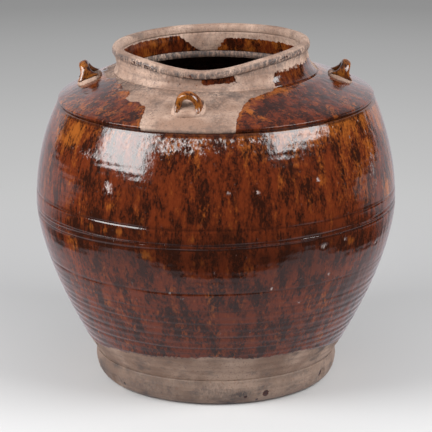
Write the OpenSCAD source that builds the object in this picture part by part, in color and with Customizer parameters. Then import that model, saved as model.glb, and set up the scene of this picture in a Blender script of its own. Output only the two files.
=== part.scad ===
// Stoneware storage jar with four shoulder lugs and a rolled, sagging rim.
// The origin is the middle of the standing ring, +Z is up and the front is towards -Y.
// Azimuths are in degrees from the front, positive towards +X.

/* [Body] */
// Outside radius of the belly at its widest
belly_r = 178.2; // [172:0.2:186]
// Height of the lower wall, from the foot band up to the seam at the widest point
lower_h = 153; // [143:1:163]
// Fullness of the lower wall, where 1 is a straight cone
lower_fullness = 1.58; // [1.4:0.02:1.8]
// Height of the upper wall, from the belly seam to the shoulder
upper_h = 102; // [94:1:110]
// Outside radius of the wall at its top, under the shoulder
wall_top_r = 155.6; // [148:0.2:162]
// Fullness of the upper wall, where 1 is a straight cone
upper_fullness = 2.05; // [1.7:0.05:2.4]
// Thickness of the thrown walls, square to their face
wall_t = 8; // [6:0.25:10]
// Rise of the bevelled seam at the belly, from outside to inside
seam_rise = 5; // [2:0.5:8]

/* [Foot] */
// Height of the foot band
foot_h = 27; // [23:0.5:31]
// Thickness of the foot band where it meets the floor
band_t = 5.6; // [4:0.2:8]
// How far the foot band bulges past the wall's ankle
foot_bulge = 1.6; // [1:0.1:4]
// Height at which the foot band is fullest
foot_full_z = 20; // [15:0.5:21]
// Fall of the foot band's softened top edge
foot_ease = 1.5; // [0.5:0.25:2]
// Outside radius of the wall's ankle, where it leaves the foot band
ankle_r = 119.2; // [110:0.2:128]
// Width of the small step on top of the foot band
foot_step = 0.8; // [0.4:0.1:1.2]
// Thickness of the base slab
base_t = 10; // [7:0.5:14]
// Width of the flat ring left round the scraped hollow under the base slab
stand_w = 18; // [12:0.5:30]
// Depth of the scraped hollow
hollow_depth = 2.5; // [1:0.25:4]

/* [Shoulder] */
// Rise of the shoulder from the lip's underside to the neck seam
shoulder_rise = 27.5; // [24:0.5:31]
// How far the shoulder's lip sits inside the line of the wall
lip_inset = 0.3; // [0:0.1:1]
// Height of the lip's upright edge
lip_h = 3.5; // [2:0.25:5]
// Rounding of the lip's lower edge
lip_round = 1.2; // [0.6:0.1:1.8]
// How far the shoulder's edge turns inwards before it slopes up to the neck
edge_in = 2.8; // [2:0.1:4]
// Height to which the shoulder's edge turns over the seam
edge_h = 8; // [6:0.25:9]
// Depth of the dark line under the lip
line_depth = 1.6; // [0.8:0.1:2.2]
// Height of the dark line under the lip
line_h = 2.4; // [1.5:0.1:3.5]

/* [Grooves] */
// Depth of the lines cut round the belly
belly_groove_depth = 1.4; // [0.6:0.1:2]
// Width of the belly lines
belly_groove_w = 2.6; // [1.6:0.1:3.2]
// Height of the upper belly line over the widest point
upper_line_up = 15; // [9:0.5:20]
// Drop of the lower belly line under the line cut along the seam
pair_gap = 4; // [3.6:0.1:6]
// Number of thin lines scored on the lower wall
score_count = 5; // [0:1:7]
// Height of the lowest scored line over the foot band
score_up = 39; // [33:1:45]
// Spacing of the scored lines
score_gap = 15.8; // [8:0.1:16]
// Depth of the scored lines
score_depth = 0.8; // [0.4:0.1:1.4]
// Width of the scored lines
score_w = 1.8; // [1.2:0.1:2.6]

/* [Neck and rim] */
// Outside radius of the neck at its waist
neck_r = 94.8; // [86:0.2:104]
// Thickness of the neck wall
neck_t = 6.6; // [5.8:0.1:7.4]
// Spread of the neck's outside at the seam on the shoulder
neck_flare = 6; // [4:0.25:8]
// Spread of the neck's bore at the seam
throat_flare = 2.5; // [1:0.25:4]
// Share of the neck's height over which it draws in from the seam
neck_sweep = 0.6; // [0.4:0.05:0.8]
// How far the roll's middle stands outside the middle of the neck wall
roll_out = 0.8; // [0:0.1:1.4]
// Thickness of the rolled rim, across
roll_w = 9.8; // [9:0.1:11]
// Height of the rolled rim
roll_h = 9.6; // [8.8:0.1:11]
// How much the roll's underside is pressed flat on the neck
roll_press = 1.3; // [0.8:0.1:1.8]
// Height from the neck seam to the middle of the rolled rim, away from the sag
neck_h = 24.1; // [22:0.1:30]
// How much the rim leans: up on one side and down on the other
rim_lean = 3.1; // [0:0.1:5]
// Azimuth of the high side of the leaning rim
rim_lean_az = 69; // [-180:1:180]
// Depth of the sag in the rim
sag = 10.5; // [0:0.5:12]
// Azimuth of the middle of the sag
sag_az = -4; // [-180:1:180]
// Spread of the sag, in degrees to each side
sag_spread = 33; // [20:1:60]
// Sideways shift of the mouth from the jar's axis
mouth_shift = -5; // [-6:0.25:6]

/* [Lugs] */
// Azimuths of the front, right, back and left lugs
lug_az = [-11.5, 90, 174, -90]; // [-180:0.5:180]
// Places of the same lugs on the shoulder, as shares of the way from the neck seam out to the lip
lug_share = [0.5, 0.39, 0.46, 0.43]; // [0.35:0.01:0.6]
// Thickness of the clay pad under each lug
pad_t = 4; // [3:0.25:5]
// How far the pad shows past the loop at each side
pad_side = 3.5; // [3.3:0.1:6]
// How far the pad shows past the loop's feet, up and down the slope
pad_end = 2.25; // [2:0.05:4]
// Width of the pad's softened edge
pad_edge = 1.6; // [0.8:0.1:2]
// Width of the loop over its outer faces
loop_w = 26; // [22:0.5:30]
// Height of the loop over the pad
loop_h = 16; // [13:0.5:19]
// Thickness of the loop
loop_t = 7; // [5:0.1:8]
// Width of the loop's strap at its top, along the slope
strap_w = 9.4; // [6:0.2:11]
// Length of the loop's pressed feet, along the slope
strap_foot = 22.5; // [18:0.5:26]
// Sideways drag of the loop's trailing foot
foot_drag = 1.6; // [0:0.1:1.8]

/* [Hidden] */
$fn = 96;
bare_clay = [0.62, 0.49, 0.38];
brown_glaze = [0.36, 0.14, 0.06];
amber_glaze = [0.45, 0.20, 0.07];
// Film of dried slip between a lug pad and the shoulder
slip_film = 0.1;
// Depth to which a pad blank reaches under the shoulder before it is cut to fit
pad_root = 4;
// Number of facets round the neck and rim
mouth_steps = 72;
// Roundness of the roll's and the strap's sections and squareness of the pad, as powers
roll_power = 0.85;
pad_power = 0.6;
// Half angle of the rolled rim's seat, left open in its section
roll_open = 55;
quarter_turn = 90;
half_turn = 180;
full_turn = 360;
// Steps across the quarter section of the foot band, round a roll's section and round a pad
band_steps = 8;
roll_steps = 11;
pad_steps = 32;
// Number of steps along a lug loop and of sides round its strap
loop_steps = 20;
strap_sides = 16;
// Heights of the seams, from the floor up
belly_z = foot_h + lower_h;
shoulder_z = belly_z + upper_h;
neck_seat_z = shoulder_z + shoulder_rise;
rim_z = neck_seat_z + neck_h;
// Radii that the neck shares with the shoulder and the rolled rim
neck_foot_r = neck_r + neck_flare;
neck_bore_r = neck_r - neck_t;
neck_throat_r = neck_bore_r + throat_flare;
roll_mid_r = neck_r - neck_t / 2 + roll_out;
roll_seat_drop = roll_h / 2 - roll_press;
lip_r = wall_top_r - lip_inset;
pad_w = loop_w + 2 * pad_side;
pad_l = strap_foot + 2 * pad_end;

// Outside radius of the thrown wall at a height
function wall_r(z) = z < belly_z
    ? belly_r - (belly_r - ankle_r) * pow((belly_z - z) / (belly_z - foot_h), lower_fullness)
    : belly_r - (belly_r - wall_top_r) * pow((z - belly_z) / (shoulder_z - belly_z), upper_fullness);

function wall_slope(z) = wall_r(z + 0.5) - wall_r(z - 0.5);

// Inside radius of the thrown wall at a height
function bore_r(z) = wall_r(z) - wall_t * sqrt(1 + pow(wall_slope(z), 2));

function stations(low, high, count) = [for (i = [0:count]) low + (high - low) * i / count];

// Quadratic curve of the shoulder from its lip to the neck seam
lip_top = [lip_r, shoulder_z + lip_h];
edge_aim = [lip_r - edge_in, shoulder_z + edge_h];
neck_seam = [neck_foot_r, neck_seat_z];

function shoulder_point(t) = pow(1 - t, 2) * lip_top + 2 * t * (1 - t) * edge_aim + t * t * neck_seam;

function shoulder_tangent(t) =
    let (d = (1 - t) * (edge_aim - lip_top) + t * (neck_seam - edge_aim))
    d / norm(d);

// Point on the inside of the shoulder, one wall thickness below the outside
function shoulder_inside(t) =
    let (d = shoulder_tangent(t))
    shoulder_point(t) - wall_t * [d[1], -d[0]];

// Place along the shoulder curve at a distance from the axis
function shoulder_t(r) =
    let (a = lip_top[0] - 2 * edge_aim[0] + neck_seam[0],
         b = 2 * (edge_aim[0] - lip_top[0]),
         c = lip_top[0] - r)
    (-b - sqrt(b * b - 4 * a * c)) / (2 * a);

function shoulder_tilt(r) =
    let (d = shoulder_tangent(shoulder_t(r)))
    atan2(d[1], -d[0]);

// Height of the middle of the rolled rim at an azimuth
function turned(a) = a > half_turn ? a - full_turn : a < -half_turn ? a + full_turn : a;

function rim_mid(a) = rim_z + rim_lean * cos(a - rim_lean_az)
    - sag * exp(-pow(turned(a - sag_az) / sag_spread, 2));

// A point of the neck or rim: azimuth, radius, height and its share of the mouth's shift
function round_point(a, r, z, share) = [r * sin(a) + mouth_shift * share, -r * cos(a), z];

// Share of the mouth's shift at a height of the neck
function drawn(z, top) = pow((z - neck_seat_z) / (top - neck_seat_z), 0.8);

function neck_section(a) =
    let (top = rim_mid(a) - roll_seat_drop,
         low = neck_seat_z,
         sweep = neck_sweep * (top - low),
         outside = [for (i = [0:4]) let (q = i / 4)
             [neck_r + neck_flare * pow(1 - q, 2), low + sweep * pow(q, 1.3)]],
         inside = [[neck_bore_r, low + sweep], [neck_throat_r, low]])
    [for (p = concat(outside, [[neck_r, top], [neck_bore_r, top]], inside))
        round_point(a, p[0], p[1], p[1] > low ? drawn(p[1], top) : 0)];

// Rounded section of the rolled rim, flat where it sits on the neck
function roll_section(a) =
    let (mid = rim_mid(a),
         seat = mid - roll_seat_drop,
         curl = [for (b = stations(roll_open - quarter_turn, 3 * quarter_turn - roll_open, roll_steps))
             [roll_mid_r + roll_w / 2 * soft(cos(b)), mid + roll_h / 2 * soft(sin(b))]])
    [for (p = concat([[neck_bore_r, seat], [neck_r, seat]], curl)) round_point(a, p[0], p[1], 1)];

function soft(v) = sign(v) * pow(abs(v), roll_power);

// Closed ring of equal sections, each drawn as two triangles to a side
module ring_of(sections) {
    n = len(sections);
    m = len(sections[0]);
    points = [for (s = sections) each s];
    faces = [for (i = [0:n - 1]) for (j = [0:m - 1]) let (
        a = i * m + j,
        b = i * m + (j + 1) % m,
        c = ((i + 1) % n) * m + (j + 1) % m,
        d = ((i + 1) % n) * m + j) each [[a, b, c], [a, c, d]]];
    polyhedron(points, faces, convexity = 6);
}

// V-shaped line scored round a wall at a height
module scored_line(z, depth, width) {
    r = wall_r(z);
    rotate_extrude()
        polygon([[r - depth, z], [r + depth, z - width], [r + depth, z + width]]);
}

module base_slab() {
    edge = [for (z = stations(0, base_t, 2)) [wall_r(z), z]];
    hollow_r = wall_r(0) - stand_w;
    hollow = [for (q = stations(0, 1, 4)) [hollow_r * q, hollow_depth * (1 - q * q)]];
    color(bare_clay)
        rotate_extrude()
            polygon(concat(hollow, edge, [[0, base_t]]));
}

module foot_band() {
    stand_r = wall_r(0) + band_t;
    foot_r = ankle_r + foot_bulge;
    curve = [for (t = stations(0, quarter_turn, band_steps))
        [stand_r + (foot_r - stand_r) * sin(t), foot_full_z * (1 - cos(t))]];
    top_r = wall_r(foot_h) + foot_step;
    seam = [for (z = concat(stations(foot_h, base_t, 4), [base_t / 2, 0])) [wall_r(z), z]];
    color(bare_clay)
        rotate_extrude()
            polygon(concat(curve, [[(foot_r + top_r) / 2, foot_h - foot_ease], [top_r, foot_h]], seam));
}

module lower_wall() {
    outside = [for (z = concat(stations(base_t, foot_h, 4), stations(foot_h + 5, belly_z, 26))) [wall_r(z), z]];
    inside = [for (z = stations(belly_z + seam_rise, base_t, 28)) [bore_r(z), z]];
    color(brown_glaze) difference() {
        rotate_extrude() polygon(concat(outside, inside));
        for (i = [0:1:score_count - 1])
            scored_line(foot_h + score_up + i * score_gap, score_depth, score_w / 2);
        for (drop = [0, pair_gap])
            scored_line(belly_z - drop, belly_groove_depth, belly_groove_w / 2);
    }
}

module upper_wall() {
    outside = [for (z = stations(belly_z, shoulder_z - line_h, 18)) [wall_r(z), z]];
    line_r = wall_r(shoulder_z) - line_depth;
    inside = [for (z = stations(shoulder_z, belly_z + seam_rise, 18)) [bore_r(z), z]];
    color(brown_glaze) difference() {
        rotate_extrude() polygon(concat(outside, [[line_r, shoulder_z - line_h / 3], [line_r, shoulder_z]], inside));
        for (rise = [0, upper_line_up])
            scored_line(belly_z + rise, belly_groove_depth, belly_groove_w / 2);
    }
}

// Half section of the shoulder, from its lower inside corner round to the neck seam
function shoulder_outline() =
    let (throat = bore_r(shoulder_z),
         inside = [for (t = stations(1, 0, 16)) let (p = shoulder_inside(t))
             if (p[0] > neck_throat_r + 1 && p[0] < throat - 1 && p[1] > shoulder_z + 1) p])
    concat([[throat, shoulder_z], [lip_r - lip_round, shoulder_z],
            [lip_r - lip_round * 0.3, shoulder_z + lip_round * 0.3], [lip_r, shoulder_z + lip_round]],
           [for (t = stations(0, 1, 16)) shoulder_point(t)],
           [[neck_throat_r, neck_seat_z], [neck_throat_r, shoulder_inside(1)[1]]],
           inside);

module shoulder() {
    color(brown_glaze)
        rotate_extrude()
            polygon(shoulder_outline());
}

module neck_collar() {
    color(bare_clay)
        ring_of([for (i = [0:mouth_steps - 1]) neck_section(i * full_turn / mouth_steps)]);
}

module rim_roll() {
    color(bare_clay)
        ring_of([for (i = [0:mouth_steps - 1]) roll_section(i * full_turn / mouth_steps)]);
}

// Stands its children at a lug's place on the shoulder, square to the slope and facing outwards
module on_shoulder(i) {
    r = neck_foot_r + lug_share[i] * (lip_r - neck_foot_r);
    rotate([0, 0, lug_az[i]])
        translate([0, -r, shoulder_point(shoulder_t(r))[1]])
            rotate([shoulder_tilt(r), 0, 0])
                children();
}

// Solid under the shoulder's outer face, lifted by the film of slip
module shoulder_core() {
    translate([0, 0, slip_film])
        rotate_extrude()
            polygon(concat([[0, shoulder_z], [lip_r, shoulder_z]],
                           [for (t = stations(0, 1, 16)) shoulder_point(t)], [[0, neck_seat_z]]));
}

// Soft-cornered outline of a lug pad, drawn in by an amount
function pad_outline(inset) =
    [for (k = [0:pad_steps - 1]) let (a = k * full_turn / pad_steps)
        [(pad_w / 2 - inset) * corner(cos(a)), (pad_l / 2 - inset) * corner(sin(a))]];

function corner(v) = sign(v) * pow(abs(v), pad_power);

module lug_pad(i) {
    color(bare_clay) difference() {
        on_shoulder(i) hull() {
            translate([0, 0, -pad_root])
                linear_extrude(pad_root + pad_t - pad_edge) polygon(pad_outline(0));
            linear_extrude(pad_t) polygon(pad_outline(pad_edge));
        }
        shoulder_core();
    }
}

// Loop of the lug: an arch over the pad, its strap widening into two pressed feet
module lug_loop(i) {
    reach = (loop_w - loop_t) / 2;
    rise = loop_h - loop_t / 2;
    rings = [for (u = stations(0, half_turn, loop_steps)) let (
        low = pow(1 - sin(u), 3),
        half_w = strap_w / 2 + (strap_foot - strap_w) / 2 * low,
        mid = [-reach * cos(u) + (u > quarter_turn ? foot_drag * low : 0), 0, pad_t + rise * sin(u)])
        [for (j = [0:strap_sides - 1]) let (b = j * full_turn / strap_sides)
            mid + loop_t / 2 * soft(cos(b)) * [-cos(u), 0, sin(u)] + half_w * soft(sin(b)) * [0, 1, 0]]];
    sides = [for (k = [0:loop_steps - 1]) for (j = [0:strap_sides - 1]) let (
        a = k * strap_sides + j,
        b = k * strap_sides + (j + 1) % strap_sides) each
        [[a, b, b + strap_sides], [a, b + strap_sides, a + strap_sides]]];
    first = [for (j = [strap_sides - 1:-1:0]) j];
    last = [for (j = [0:strap_sides - 1]) loop_steps * strap_sides + j];
    color(amber_glaze)
        on_shoulder(i)
            polyhedron([for (ring = rings) each ring], concat(sides, [first, last]), convexity = 6);
}

module lug_pad_front() { lug_pad(0); }
module lug_pad_right() { lug_pad(1); }
module lug_pad_back() { lug_pad(2); }
module lug_pad_left() { lug_pad(3); }
module lug_loop_front() { lug_loop(0); }
module lug_loop_right() { lug_loop(1); }
module lug_loop_back() { lug_loop(2); }
module lug_loop_left() { lug_loop(3); }

base_slab();
foot_band();
lower_wall();
upper_wall();
shoulder();
neck_collar();
rim_roll();
lug_pad_front();
lug_pad_right();
lug_pad_back();
lug_pad_left();
lug_loop_front();
lug_loop_right();
lug_loop_back();
lug_loop_left();
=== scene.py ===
"""Glazed stoneware storage jar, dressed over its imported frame. Lengths are in millimetres until a mesh is made."""
import logging
from dataclasses import dataclass, field
from enum import Enum
from typing import Callable, Dict, List, Sequence, Tuple

import bpy
import numpy as np
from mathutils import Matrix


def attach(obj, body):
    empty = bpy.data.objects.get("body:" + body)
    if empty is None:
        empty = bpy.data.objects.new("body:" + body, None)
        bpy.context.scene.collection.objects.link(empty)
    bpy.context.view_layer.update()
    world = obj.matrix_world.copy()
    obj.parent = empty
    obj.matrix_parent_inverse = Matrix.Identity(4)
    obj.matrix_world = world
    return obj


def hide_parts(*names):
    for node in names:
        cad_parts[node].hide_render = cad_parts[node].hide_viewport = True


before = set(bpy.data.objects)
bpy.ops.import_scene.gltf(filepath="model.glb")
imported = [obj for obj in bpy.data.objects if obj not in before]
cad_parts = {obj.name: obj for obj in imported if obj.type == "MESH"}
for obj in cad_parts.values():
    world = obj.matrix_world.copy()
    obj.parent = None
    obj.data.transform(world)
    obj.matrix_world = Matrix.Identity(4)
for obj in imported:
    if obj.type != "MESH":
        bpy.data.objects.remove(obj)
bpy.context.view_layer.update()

LOG = logging.getLogger("jar")
MM = 0.001
TURN = 360.0
Array = np.ndarray
Table = Sequence[Tuple[float, float]]


class Slot(Enum):
    """Material slots of the part's record."""

    BROWN = "brown_glaze"
    AMBER = "amber_glaze"
    BARE = "bare_stoneware"


def around(az: Array, table: Table) -> Array:
    """Value read round the jar from a short table.

    Args:
        az: Azimuths in degrees from the front.
        table: Pairs of azimuth and value.

    Returns:
        The value at each azimuth.
    """
    points = sorted(table)
    return np.interp(az, [p[0] for p in points], [p[1] for p in points], period=TURN)


def grain(az: Array, up: Array, cells: int, pitch: float, seed: int) -> Array:
    """Smooth noise that closes round the jar.

    Args:
        az: Azimuths in degrees.
        up: Heights in millimetres.
        cells: Number of lumps round the jar.
        pitch: Height of a lump in millimetres.
        seed: Number that picks the pattern.

    Returns:
        Values from -1 to 1.
    """
    rows = 256
    lattice = np.random.default_rng(seed).uniform(-1.0, 1.0, (rows, cells))
    x = np.mod(az, TURN) / TURN * cells
    y = up / pitch + rows / 2
    i, j = np.floor(x).astype(int), np.floor(y).astype(int)
    fx, fy = x - i, y - j
    fx, fy = fx * fx * (3 - 2 * fx), fy * fy * (3 - 2 * fy)

    def at(di: int, dj: int) -> Array:
        """Lattice value at a corner of the cell."""
        return lattice[np.mod(j + dj, rows), np.mod(i + di, cells)]

    low = at(0, 0) * (1 - fx) + at(1, 0) * fx
    high = at(0, 1) * (1 - fx) + at(1, 1) * fx
    return low * (1 - fy) + high * fy


def layered(az: Array, up: Array, cells: int, pitch: float, seed: int, layers: int = 3) -> Array:
    """Noise of several finenesses added up, about -1 to 1."""
    total, weight = np.zeros(np.broadcast(az, up).shape), 1.0
    for k in range(layers):
        total = total + weight * grain(az, up, cells * 2 ** k, pitch / 2 ** k, seed + k)
        weight *= 0.5
    return total / 1.5


def smooth(value: Array, start: float, end: float) -> Array:
    """Soft step from 0 at start to 1 at end."""
    t = np.clip((value - start) / (end - start), 0.0, 1.0)
    return t * t * (3 - 2 * t)


def apart(az: Array, centre: float) -> Array:
    """Angle from a centre, from -180 to 180 degrees."""
    return np.mod(az - centre + TURN / 2, TURN) - TURN / 2


@dataclass(frozen=True)
class Line:
    """A line cut round the wall: its height, tilt towards the right, depth and width."""

    z: float
    tilt: float
    depth: float
    width: float

    def dip(self, az: Array, z: Array) -> Array:
        """Depth of the cut at a place, in millimetres."""
        off = z - self.z - self.tilt * np.sin(np.radians(az)) - 0.5 * grain(az, z * 0, 24, 10.0, int(self.z))
        strength = 0.8 + 0.35 * grain(az, z * 0, 40, 10.0, int(self.z) + 7)
        return self.depth * strength * np.exp(-(off / self.width) ** 2)


@dataclass(frozen=True)
class Mark:
    """A pit, scar or chip at a place on the wall."""

    az: float
    z: float
    size: float
    depth: float

    def spread(self, az: Array, z: Array, radius: float) -> Array:
        """Nearness to the mark, 1 at its middle and 0 far away."""
        across = np.radians(apart(az, self.az)) * radius
        return np.exp(-(across ** 2 + (z - self.z) ** 2) / self.size ** 2)


@dataclass(frozen=True)
class Profile:
    """Turned shape of the clay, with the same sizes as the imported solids."""

    belly_r: float = 178.2
    belly_z: float = 180.0
    ankle_r: float = 119.2
    foot_h: float = 27.0
    lower_fullness: float = 1.58
    shoulder_z: float = 282.0
    wall_top_r: float = 155.6
    upper_fullness: float = 2.05
    wall_t: float = 8.0
    base_t: float = 10.0
    seam_rise: float = 5.0
    lip_r: float = 155.3
    neck_foot_r: float = 100.8
    neck_seat_z: float = 309.5
    neck_r: float = 94.8
    neck_t: float = 6.6
    throat_r: float = 90.7
    roll_mid_r: float = 92.3
    roll_w: float = 9.8
    roll_h: float = 9.6
    rim_z: float = 333.6
    mouth_shift: float = -5.0
    ridge_tilt: float = 2.2

    def wall_r(self, z: Array) -> Array:
        """Outside radius of the thrown wall at a height."""
        z = np.asarray(z, dtype=float)
        down = np.clip((self.belly_z - z) / (self.belly_z - self.foot_h), 0, None)
        up = np.clip((z - self.belly_z) / (self.shoulder_z - self.belly_z), 0, None)
        return np.where(z < self.belly_z,
                        self.belly_r - (self.belly_r - self.ankle_r) * down ** self.lower_fullness,
                        self.belly_r - (self.belly_r - self.wall_top_r) * up ** self.upper_fullness)

    def bore_r(self, z: Array) -> Array:
        """Inside radius of the thrown wall at a height."""
        slope = self.wall_r(np.asarray(z) + 0.5) - self.wall_r(np.asarray(z) - 0.5)
        return self.wall_r(z) - self.wall_t * np.sqrt(1 + slope ** 2)

    def shoulder(self, t: Array) -> Tuple[Array, Array, Array, Array]:
        """Radius, height and outward direction on the shoulder, from its lip at 0 to the neck at 1."""
        t = np.asarray(t, dtype=float)
        p = np.array([[self.lip_r, self.shoulder_z + 3.5], [self.lip_r - 2.8, self.shoulder_z + 8],
                      [self.neck_foot_r, self.neck_seat_z]])
        r, z = ((1 - t) ** 2 * p[0, k] + 2 * t * (1 - t) * p[1, k] + t * t * p[2, k] for k in (0, 1))
        dr, dz = ((1 - t) * (p[1, k] - p[0, k]) + t * (p[2, k] - p[1, k]) for k in (0, 1))
        size = np.hypot(dr, dz)
        return r, z, dz / size, -dr / size

    def rim_mid(self, az: Array) -> Array:
        """Height of the middle of the rolled rim, which leans to the right and sags at the front."""
        return self.rim_z + 3.1 * np.cos(np.radians(az - 69)) - 10.5 * np.exp(-(apart(az, -4) / 33) ** 2)

    def ridge_shift(self, az: Array, z: Array) -> Array:
        """How much the seam under the shoulder rises towards the right, fading away from it."""
        fade = smooth(z, 236, self.shoulder_z) * (1 - smooth(z, self.shoulder_z + 4, self.neck_seat_z - 2))
        return self.ridge_tilt * np.sin(np.radians(az)) * fade


PROFILE = Profile()
LINES = (Line(195, 1.3, 0.9, 1.0), Line(180.6, 5.2, 1.1, 1.1), Line(176, 5.2, 0.9, 1.0), Line(130.5, 1.5, 0.6, 0.9),
         Line(111, 0.3, 0.6, 0.9), Line(96, 0.8, 0.55, 0.9), Line(80.5, 1.3, 0.55, 0.9), Line(67, 1.0, 0.6, 0.9),
         Line(61.5, 0.6, 0.4, 0.7))
SCAR = Mark(-35.5, 228, 6.5, 1.4)
PITS = (Mark(34, 236, 2.6, 0.9), Mark(13, 230, 2.4, 0.8), Mark(4, 230, 2.2, 0.8), Mark(35, 171, 3.6, 1.1),
        Mark(44, 173, 2.2, 0.7), Mark(39, 140, 2.6, 1.1), Mark(28, 141, 1.8, 0.6), Mark(29, 114, 2.4, 0.7),
        Mark(62, 156, 2.4, 0.8), Mark(18, 134, 2.0, 0.6), Mark(-15, 130, 1.8, 0.5), Mark(-11, 124, 1.8, 0.5))
DROPS = (Mark(-50, 165, 9.0, 0.0), Mark(-57, 266, 13.0, 0.0), Mark(-66, 262, 10.0, 0.0), Mark(62, 250, 9.0, 0.0),
         Mark(-34, 212, 6.0, 0.0), Mark(-6, 187, 4.5, 0.0), Mark(-42, 187, 4.5, 0.0), Mark(-36, 186, 4.0, 0.0),
         Mark(-31, 187, 3.6, 0.0), Mark(-22, 168, 6.5, 0.0), Mark(-4, 165, 6.0, 0.0), Mark(10, 160, 7.0, 0.0),
         Mark(46, 170, 6.0, 0.0), Mark(70, 205, 12.0, 0.0), Mark(75, 262, 8.0, 0.0), Mark(120, 230, 16.0, 0.0),
         Mark(-130, 240, 16.0, 0.0), Mark(170, 250, 14.0, 0.0), Mark(-160, 170, 12.0, 0.0))
POOLS = (Mark(24, 165, 8.5, 0.0), Mark(15, 165, 5.0, 0.0), Mark(-64, 268, 6.0, 0.0), Mark(-40, 196, 8.0, 0.0),
         Mark(-25, 196, 7.0, 0.0), Mark(30, 186, 8.0, 0.0), Mark(3, 190, 6.0, 0.0), Mark(140, 175, 9.0, 0.0))


@dataclass(frozen=True)
class Coat:
    """How glaze, ash, stain and some painted highlight lie on the clay at each place, as values from 0 to 1."""

    lower_edge: Table = ((-180, 50), (-61, 46), (-30, 53), (0, 57), (20, 54), (40, 53), (75, 42), (120, 48))
    bare_r: Table = ((-180, 106), (-100, 110), (-70, 104), (-47, 114), (-43, 124), (-31, 129), (-29, 143),
                     (-26, 162), (6, 162), (8, 142), (11.9, 124), (16.7, 113), (34, 101), (60, 97), (100, 100))

    def wall_glaze(self, az: Array, z: Array) -> Array:
        """Distance in millimetres inside the glaze, positive where the wall is glazed."""
        return z - around(az, self.lower_edge) - 1.6 * layered(az, z * 0, 26, 9.0, 3)

    def shoulder_glaze(self, az: Array, r: Array, z: Array) -> Array:
        """The same on the shoulder, where the glaze is missing round the neck and in front."""
        jag = 5.0 * layered(az, r, 40, 9.0, 11)
        return r - around(az, self.bare_r) + jag

    def amber(self, az: Array, z: Array) -> Array:
        """Where the glaze is thin and clear, in upright patches and drops."""
        runs = layered(az, z, 70, 62.0, 21) * 0.55 + layered(az, z, 190, 26.0, 25) * 0.4
        value = 0.08 + 0.44 * runs + 0.36 * smooth(z, 250, 284) - 0.12 * np.exp(-((z - 165) / 40) ** 2)
        value = value + 0.22 * np.exp(-(apart(az, 66) / 26) ** 2) * smooth(z, 185, 215)
        for drop in DROPS:
            value = value + 0.75 * drop.spread(az, z, 172) * (0.7 + 0.6 * layered(az, z, 200, 8.0, 29))
        return np.clip(value, 0, 1)

    def dark(self, az: Array, z: Array) -> Array:
        """Where the glaze pools thick and nearly black."""
        value = 0.16 * smooth(layered(az, z, 44, 38.0, 31), 0.1, 0.9) + 0.75 * smooth(z, 278.6, 280)
        value = value + 0.55 * np.exp(-((z - 168) / 24) ** 2) * smooth(np.cos(np.radians(az - 2)), 0.45, 0.8)
        for line in LINES[:3]:
            value = value + 0.62 * np.clip(line.dip(az, z) / line.depth, 0, 1)
            value = value + 0.3 * np.clip(line.dip(az, z - 2.4) / line.depth, 0, 1) * smooth(grain(az, z * 0, 60, 9, 33), -0.2, 0.5)
        for line in LINES[3:]:
            value = value + 0.5 * np.clip(line.dip(az, z) / line.depth, 0, 1)
        for pool in POOLS:
            value = value + 0.8 * pool.spread(az, z, 175)
        return np.clip(value, 0, 1)

    def ash_and_sheen(self, az: Array, z: Array) -> Array:
        """Pale kiln ash and pinholes, most of it in a band under the shoulder in front, and on the right of the upper
        wall a painted highlight of pale upright streaks.
        """
        band = np.exp(-(apart(az, -14) / 15) ** 2) * smooth(z, 258, 268) * 0.62
        right = np.exp(-(apart(az, 12) / 20) ** 2) * smooth(z, 264, 280) * 0.5
        left = np.exp(-(apart(az, -44) / 10) ** 2) * np.exp(-((z - 254) / 5) ** 2) * 0.55
        # Streaks: real ash streaks all round, made stronger on the right of the upper wall as a painted highlight of
        # the right soft box.
        streaks_and_highlight = smooth(layered(az, z, 240, 22.0, 41), 0.28, 0.8) * (0.35 + 0.75 * smooth(az, 12, 45) * (1 - smooth(az, 100, 130)) * smooth(z, 185, 235))
        value = band + right + left + 0.55 * streaks_and_highlight
        for pit in PITS:
            value = value + 0.9 * pit.spread(az, z, 172)
        value = value + 0.9 * SCAR.spread(az, z, 176)
        return np.clip(value, 0, 1) * (1 - 0.9 * smooth(z, 278.0, 279.4))


COAT = Coat()


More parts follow.
